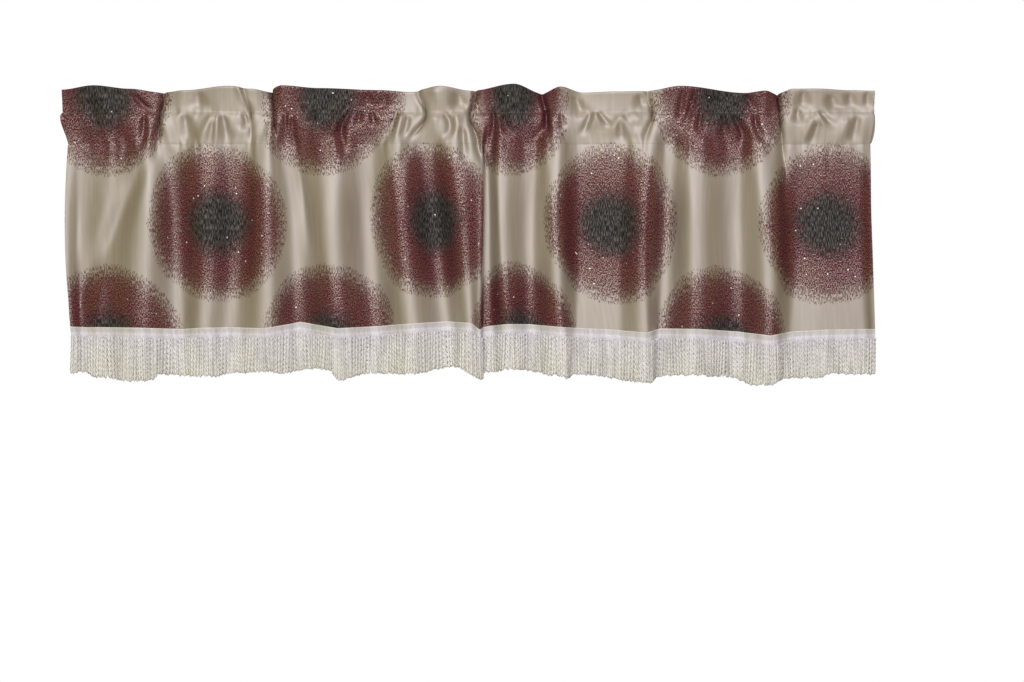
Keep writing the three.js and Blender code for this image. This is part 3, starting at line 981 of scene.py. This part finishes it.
def ivory(name, tones, dulled=0.0):
    """Soft lustrous ivory yarn, flecked with painted twist shade, in tones that change down the
    cloth.
    """
    n = Nodes(name)
    uv = n.node("ShaderNodeUVMap", uv_map="flat")
    down = n.node("ShaderNodeSeparateXYZ", {"Vector": uv}, "Y")
    light = tones[0].colour
    for above, below in zip(tones, tones[1:]):
        light = n.mix(n.span(down, Span(above.down * MM, below.down * MM)), light, below.colour)
    tone_and_twist_shade = dulled
    # Painted shade: random dark flecks stand for the grooves between the plies; clumps and streaks
    # vary the tone
    for grain, span in ((TWISTS, IN_TWIST), (CLUMPS, IN_CLUMP), (STREAKS, IN_STREAK)):
        tone_and_twist_shade = n.math("ADD", tone_and_twist_shade, n.span(n.grain(uv, grain), span))
    fibre = n.grain(uv, FIBRES)
    return n.finish(
        Base_Color=n.mix(tone_and_twist_shade, light, YARN_DARK_AND_TWIST_SHADE),
        Roughness=n.span(fibre, FIBRE_ROUGH),
        Normal=n.bump(fibre, FIBRE_RELIEF, FIBRE_DEPTH),
        Specular_IOR_Level=0.35,
        Sheen_Weight=0.15,
        Sheen_Roughness=0.5,
    )


FACE = satin_face()
REVERSE = satin_reverse()
STRAND_YARN = ivory("bullion_yarn", STRAND_TONES)
STRAND_DULL = ivory("bullion_dull_ply", STRAND_TONES, DULL_PLY)
BRAID_YARN = ivory("braid_yarn", BRAID_TONES)
SEWING_THREAD = ivory("sewing_thread", THREAD_AND_SEAM_SHADE_TONES)


# The cloth

SKIRT_COLUMNS = 621
SKIRT_ROWS = 77
HEADING_COLUMNS = 741
POCKET_ROWS = 20
RUFFLE_ROWS = 13
HEM_STEP = 4  # over which a side hem thickens the cloth
TAIL_STANDS_OFF = 1.2
TOP_EDGE = -0.5  # the pattern's place at the top fold, from which it runs on down the back


def build_skirt():
    """One sheet, twice as thick where its side hems are turned in."""
    shares = np.linspace(0, 1, SKIRT_COLUMNS)
    levels = np.linspace(0, 1, SKIRT_ROWS)
    down = LOWER_STITCH + levels * SKIRT_DROP
    points = crease_front(skirt_layer(shares, levels), down)
    from_side = np.minimum(shares, 1 - shares) * FLAT_WIDTH
    turned_in = smooth((SIDE_HEM + HEM_STEP / 2 - from_side) / HEM_STEP)
    thickness = CLOTH + CLOTH * turned_in
    obj = cloth_sheet("skirt_cloth", points, flat_grid(shares, down), thickness, FACE, REVERSE)
    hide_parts("skirt")
    return obj


def build_heading():
    """One sheet: up the front of the pocket and the ruffle, over the top and down their back."""
    shares = np.linspace(0, 1, HEADING_COLUMNS)
    pocket_up = np.linspace(0, 1, POCKET_ROWS)
    ruffle_up = np.linspace(0, 1, RUFFLE_ROWS)[1:]
    front_down = np.concatenate([LOWER_STITCH - POCKET * pocket_up, RUFFLE * (1 - ruffle_up)])
    back_down = front_down[::-1]
    front = [pocket_front(shares, pocket_up), ruffle_layer(shares, ruffle_up, -1)]
    front = crease_front(np.concatenate(front), front_down)
    back = [ruffle_layer(shares, ruffle_up[::-1], 1), pocket_back(shares, pocket_up[::-1])]
    back = crease_back(np.concatenate(back), back_down)
    top = (front[-1] + back[0]) / 2 + np.array([0, 0, CLOTH])
    tail = back[-1] + np.array([0, TAIL_STANDS_OFF, LOWER_STITCH - TURNED_DOWN])
    points = np.concatenate([front, top[None], back, tail[None]])
    behind = 2 * TOP_EDGE - np.concatenate([back_down, [TURNED_DOWN]])
    down = np.concatenate([front_down, [TOP_EDGE], behind])
    flat = flat_grid(shares, down[::-1])
    obj = cloth_sheet("heading_cloth", points[::-1], flat, CLOTH, FACE, REVERSE)
    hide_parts("heading")
    return obj


# The fringe's braid, in bands: where each starts and ends as a share of the braid's height, how far
# it stands out in braid thicknesses, and the length of its beads
Band = namedtuple("Band", "top foot high beads")
BRAID_BANDS = [
    Band(0.0, 0.15, 0.7, 2.6),
    Band(0.15, 0.34, 0.35, 3.4),
    Band(0.34, 0.53, 0.35, 3.4),
    Band(0.53, 1.0, 0.5, FLAT_WIDTH / STRANDS),
]
BRAID_COLUMNS = 1601
BRAID_ROWS = 25
BRAID_SHEET = 0.5
BRAID_LIFT = 0.35
RIB_ROUNDNESS = 0.5
BEAD_SHARE = 0.15


def hem_frame(shares, level):
    """Points of the skirt at one level, and the level direction out of its face."""
    points = skirt_layer(shares, np.array([level]))[0]
    along = np.gradient(points, axis=0)
    out = np.stack([along[:, 1], -along[:, 0], np.zeros(len(along))], -1)
    return points, out / np.linalg.norm(out, axis=-1, keepdims=True)


def braid_height(shares, across):
    """How far the braid stands off the cloth's middle, at one share of the way down it."""
    which = next(k for k, band in enumerate(BRAID_BANDS) if across <= band.foot)
    band = BRAID_BANDS[which]
    rib = math.sin(math.pi * (across - band.top) / (band.foot - band.top)) ** RIB_ROUNDNESS
    turn = 2 * math.pi * flat_x(shares) / band.beads + math.pi * (which % 2)
    beads = 0.5 + 0.5 * np.sin(turn)
    beaded = 1 - BEAD_SHARE + BEAD_SHARE * beads
    return CLOTH / 2 + BRAID_LIFT + band.high * rib * BRAID_THICK * beaded


def build_braid():
    """A flat braid: a narrow rib, two low chained ones, and a wide one over the strands' heads."""
    shares = np.linspace(0, 1, BRAID_COLUMNS)
    across = np.linspace(0, 1, BRAID_ROWS)
    top_level = 1 - (BRAID_HEIGHT + HEM - BRAID_BOTTOM) / SKIRT_DROP
    rows = []
    for q in across:
        points, out = hem_frame(shares, top_level + (1 - top_level) * q)
        row = points + out * braid_height(shares, q)[:, None]
        row[:, 2] += (HEM - BRAID_BOTTOM) * q
        rows.append(row)
    flat = flat_grid(shares, BRAID_BOTTOM - BRAID_HEIGHT * (1 - across))
    obj = cloth_sheet("braid", np.array(rows), flat, BRAID_SHEET, BRAID_YARN, BRAID_YARN)
    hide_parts("fringe")
    return obj


# The fringe's bullion: how its strands are rooted, how unevenly they hang, and their twist
HEM_STEPS = 2201
FIRST_ROW_BESIDE = 0.25
SECOND_ROW_BESIDE = 0.75
SECOND_ROW_BEHIND = 1.5
STRAND_STANDS_OFF = 1.4
ROOT_REACHES_UP = 1.5
HIDDEN_LENGTH = 1
SPACING_STRAY = 0.1
LENGTH_STRAY = 0.8
LOCKS = UnevenWave(28, SEED)
LOCK_SWAY = 3.2
SWAY_STRAY = 0.25
SWING_STRAY = 0.8
SWAY_BEND = 1.6
TWIST_PITCHES = (13, 17)
TWIST_RADIUS = 0.85
PLIES = 2
PLY_RADIUS = 1.85
PLY_SIDES = 4
STRAND_STEPS = 40
TIP_SHARE = 0.05
TIP_RADIUS = 0.25
StrandRow = namedtuple("StrandRow", "shares roots lengths sway swing phase pitch")


def place_strands(behind, beside, seed):
    """Where each strand of a row is rooted, how it hangs and how it is twisted."""
    rng = np.random.default_rng(seed)
    spaced = np.arange(STRANDS) + beside + rng.uniform(-SPACING_STRAY, SPACING_STRAY, STRANDS)
    shares = spaced / STRANDS
    grid = np.linspace(0, 1, HEM_STEPS)
    hem, hem_out = hem_frame(grid, 1.0)
    roots = between_points(shares, grid, hem)
    roots += between_points(shares, grid, hem_out) * (CLOTH / 2 + STRAND_STANDS_OFF - behind)
    roots[:, 2] += HEM - BRAID_BOTTOM + ROOT_REACHES_UP
    ragged = eased(roots[:, 0], column(TIPS, "x"), column(TIPS, "extra"))
    lengths = STRAND_LENGTH + HIDDEN_LENGTH + ragged + rng.normal(0, LENGTH_STRAY, STRANDS)
    sway = LOCK_SWAY * LOCKS.height(flat_x(shares)) + rng.normal(0, SWAY_STRAY, STRANDS)
    swing = rng.normal(0, SWING_STRAY, STRANDS)
    phase = rng.uniform(0, 2 * math.pi, STRANDS)
    pitch = rng.uniform(*TWIST_PITCHES, STRANDS)
    return StrandRow(shares, roots, lengths, sway, swing, phase, pitch)


def ply_tubes(row, ply):
    """One ply of each strand in a row, as rings of points, and their places on the flat cloth."""
    t = np.linspace(0, 1, STRAND_STEPS)
    fall = row.lengths[:, None] * t
    drift = t**SWAY_BEND
    x = row.roots[:, None, 0] + row.sway[:, None] * drift
    y = row.roots[:, None, 1] + row.swing[:, None] * drift
    z = row.roots[:, None, 2] - fall
    open_share = np.sqrt(np.clip((1 - t) / TIP_SHARE, 0, 1))
    aside = TWIST_RADIUS * open_share
    turn = row.phase[:, None] + 2 * math.pi * fall / row.pitch[:, None] + math.pi * ply
    centre = np.stack([x + aside * np.cos(turn), y + aside * np.sin(turn), z], -1)
    ring = 2 * math.pi * np.arange(PLY_SIDES) / PLY_SIDES
    around = np.stack([np.cos(ring), np.sin(ring), 0 * ring], -1)
    radius = PLY_RADIUS * (TIP_RADIUS + (1 - TIP_RADIUS) * open_share)
    tubes = centre[:, :, None, :] + radius[None, :, None, None] * around
    u = np.broadcast_to(flat_x(row.shares)[:, None, None], tubes.shape[:3])
    v = np.broadcast_to(BRAID_BOTTOM + fall[:, :, None], tubes.shape[:3])
    return tubes.reshape(-1, 3), np.stack([u, v], -1).reshape(-1, 2)


def ply_faces(start):
    """The faces of one ply's tubes, with a cap at each root and each tip."""
    shape = (STRANDS, STRAND_STEPS, PLY_SIDES)
    index = start + np.arange(math.prod(shape)).reshape(shape)
    ahead = np.roll(index, -1, axis=2)
    quads = np.stack([index[:, :-1], index[:, 1:], ahead[:, 1:], ahead[:, :-1]], -1)
    caps = np.stack([index[:, 0], index[:, -1, ::-1]], 1)
    return np.vstack([quads.reshape(-1, 4), caps.reshape(-1, 4)])


def build_strands(name, behind, beside, seed):
    """A row of bullion: each strand is two plies twisted together and closed at the tip."""
    row = place_strands(behind, beside, seed)
    tubes, flats = zip(*(ply_tubes(row, ply) for ply in range(PLIES)))
    faces = [ply_faces(ply * len(tubes[0])) for ply in range(PLIES)]
    of_face = np.repeat(np.arange(PLIES), len(faces[0]))
    yarns = [STRAND_YARN, STRAND_DULL]
    obj = add_object(name, np.vstack(tubes), np.vstack(faces), yarns, of_face)
    set_flat_uvs(obj, np.vstack(flats))
    return obj


# Sewing

STITCH = 2.4
STITCH_GAP = 1.0
STITCH_THICK = 0.35
STITCH_SINKS = 0.1
FIRST_STITCH = 0.15
HEM_SEAM_STARTS = 0.02
HEM_SEAM_ENDS = 0.94
TO_ROOM = np.array([0, -1, 0])

# A stitch is a spindle: its two ends are the corners 0 and 4, and three corners go round its middle
SPINDLE_CORNERS = 5
SPINDLE = np.array([[0, 1, 2], [0, 2, 3], [0, 3, 1], [4, 2, 1], [4, 3, 2], [4, 1, 3]])


def heading_seams():
    """Where the stitches of the heading's two rows start and end."""
    count = int(FLAT_WIDTH / (STITCH + STITCH_GAP))
    starts = (np.arange(count) + FIRST_STITCH) / count
    at_row = np.zeros(1)
    upper, lower = [], []
    for shares in (starts, starts + STITCH / FLAT_WIDTH):
        ruffle = ruffle_layer(shares, at_row, -1)
        upper.append(crease_front(ruffle, np.array([RUFFLE]))[0])
        skirt_top = skirt_layer(shares, at_row)
        lower.append(crease_front(skirt_top, np.array([LOWER_STITCH]))[0])
    return [upper, lower]


def hem_seams():
    """Where the stitches down the two side hems start and end."""
    starts = np.arange(HEM_SEAM_STARTS, HEM_SEAM_ENDS, (STITCH + STITCH_GAP) / SKIRT_DROP)
    seams = []
    for side in (SIDE_HEM / FLAT_WIDTH, 1 - SIDE_HEM / FLAT_WIDTH):
        seam = []
        for levels in (starts, starts + STITCH / SKIRT_DROP):
            line = skirt_layer(np.array([side]), levels)
            seam.append(crease_front(line, LOWER_STITCH + levels * SKIRT_DROP)[:, 0])
        seams.append(seam)
    return seams


def stitches_along(start, end):
    """The corners of each stitch of a seam: its ends are sunk and its middle is raised."""
    along = end - start
    along /= np.linalg.norm(along, axis=-1, keepdims=True)
    out = TO_ROOM - along * (along @ TO_ROOM)[:, None]
    out /= np.linalg.norm(out, axis=-1, keepdims=True)
    aside = np.cross(along, out)
    sunk = out * (CLOTH / 2 - STITCH_SINKS)
    middle = (start + end) / 2 + out * (CLOTH / 2 + STITCH_THICK / 2)
    corners = [
        start + sunk,
        middle + aside * STITCH_THICK,
        middle + out * STITCH_THICK,
        middle - aside * STITCH_THICK,
        end + sunk,
    ]
    return np.stack(corners, 1).reshape(-1, 3)


def build_stitches():
    """Short stitches along the two rows of the heading and down the side hems."""
    seams = heading_seams() + hem_seams()
    vertices = np.vstack([stitches_along(start, end) for start, end in seams])
    firsts = np.arange(0, len(vertices), SPINDLE_CORNERS)
    faces = (firsts[:, None, None] + SPINDLE).reshape(-1, 3)
    obj = add_object("stitching", vertices, faces, [SEWING_THREAD])
    set_flat_uvs(obj, vertices[:, [0, 2]])
    return obj


skirt = build_skirt()
heading = build_heading()
braid = build_braid()
strands = build_strands("bullion_front", 0, FIRST_ROW_BESIDE, SEED + 2)
strands_behind = build_strands("bullion_behind", SECOND_ROW_BEHIND, SECOND_ROW_BESIDE, SEED + 3)
stitching = build_stitches()


# The room, in metres

FLOOR_LEVEL = -1.3
FLOOR_RADIUS = 1.5
FLOOR_SEGMENTS = 96
FLOOR_PALE = rgb(0.86, 0.86, 0.85)
FLOOR_PALER = rgb(0.9, 0.9, 0.89)
FLOOR_GRAIN = 3.0
WHITE = rgb(1, 1, 1)
FILL = rgb(1, 0.88, 0.4)
FILL_STRENGTH = 0.085

# Two keys in front, warm on the left and cool on the right, weak lights beside and one behind
MIDDLE = (0, 0, -0.23)
Light = namedtuple("Light", "name place size power colour")
LIGHTS = [
    Light("warm_key", (-0.6, -3.0, 0.95), (1.2, 1.0), 58, (1, 1, 0.95)),
    Light("cool_key", (0.6, -3.0, 0.95), (1.2, 1.0), 55, (1, 0.945, 1.18)),
    Light("left", (-3.2, -1.0, 0.2), (1.0, 1.6), 7.0, (1, 0.8, 0.16)),
    Light("right", (3.2, -1.0, 0.2), (1.0, 1.6), 6.0, (1, 0.75, 0.3)),
    Light("behind", (0, 3.0, 0.8), (2.0, 1.2), 50, (1, 1, 1)),
]

# The photograph's frame, whose pixels are this many millimetres at the cloth
FRAME_WIDTH = 1024
PIXEL = 1.593
EYE = (66 * MM, -3.0, -402 * MM)


def build_floor():
    ring = 2 * math.pi * np.arange(FLOOR_SEGMENTS) / FLOOR_SEGMENTS
    vertices = [(FLOOR_RADIUS * math.cos(a), FLOOR_RADIUS * math.sin(a), FLOOR_LEVEL) for a in ring]
    mesh = bpy.data.meshes.new("floor")
    mesh.from_pydata(vertices, [], [list(range(FLOOR_SEGMENTS))])
    n = Nodes("floor_paint")
    grain = n.noise(n.node("ShaderNodeTexCoord", output="Object"), FLOOR_GRAIN)
    tone = n.mix(grain, FLOOR_PALE, FLOOR_PALER)
    mesh.materials.append(n.finish(Base_Color=tone, Roughness=0.9))
    obj = bpy.data.objects.new("floor", mesh)
    bpy.context.scene.collection.objects.link(obj)


def background(tree, colour, strength):
    node = tree.nodes.new("ShaderNodeBackground")
    node.inputs["Color"].default_value = colour
    node.inputs["Strength"].default_value = strength
    return node


def build_world():
    """A white room whose walls give only a weak warm fill."""
    world = bpy.data.worlds.new("white_room")
    bpy.context.scene.world = world
    world.use_nodes = True
    tree = world.node_tree
    tree.nodes.clear()
    out = tree.nodes.new("ShaderNodeOutputWorld")
    mix = tree.nodes.new("ShaderNodeMixShader")
    path = tree.nodes.new("ShaderNodeLightPath")
    seen = background(tree, WHITE, 1.0)
    fill = background(tree, FILL, FILL_STRENGTH)
    tree.links.new(path.outputs["Is Camera Ray"], mix.inputs[0])
    tree.links.new(fill.outputs[0], mix.inputs[1])
    tree.links.new(seen.outputs[0], mix.inputs[2])
    tree.links.new(mix.outputs[0], out.inputs["Surface"])


def build_camera():
    data = bpy.data.cameras.new("camera")
    data.sensor_width = 36
    data.lens = data.sensor_width * -EYE[1] / (FRAME_WIDTH * PIXEL * MM)
    obj = bpy.data.objects.new("camera", data)
    obj.location = EYE
    obj.rotation_euler = (math.pi / 2, 0, 0)
    bpy.context.scene.collection.objects.link(obj)
    bpy.context.scene.camera = obj


def add_light(light):
    data = bpy.data.lights.new(light.name, "AREA")
    data.shape = "RECTANGLE"
    data.size, data.size_y = light.size
    data.energy = light.power
    data.color = light.colour
    obj = bpy.data.objects.new(light.name, data)
    obj.location = light.place
    aim = Vector(MIDDLE) - Vector(light.place)
    obj.rotation_euler = aim.to_track_quat("-Z", "Y").to_euler()
    bpy.context.scene.collection.objects.link(obj)


build_floor()
build_world()
build_camera()
for light in LIGHTS:
    add_light(light)

bpy.context.scene.view_settings.view_transform = "Standard"
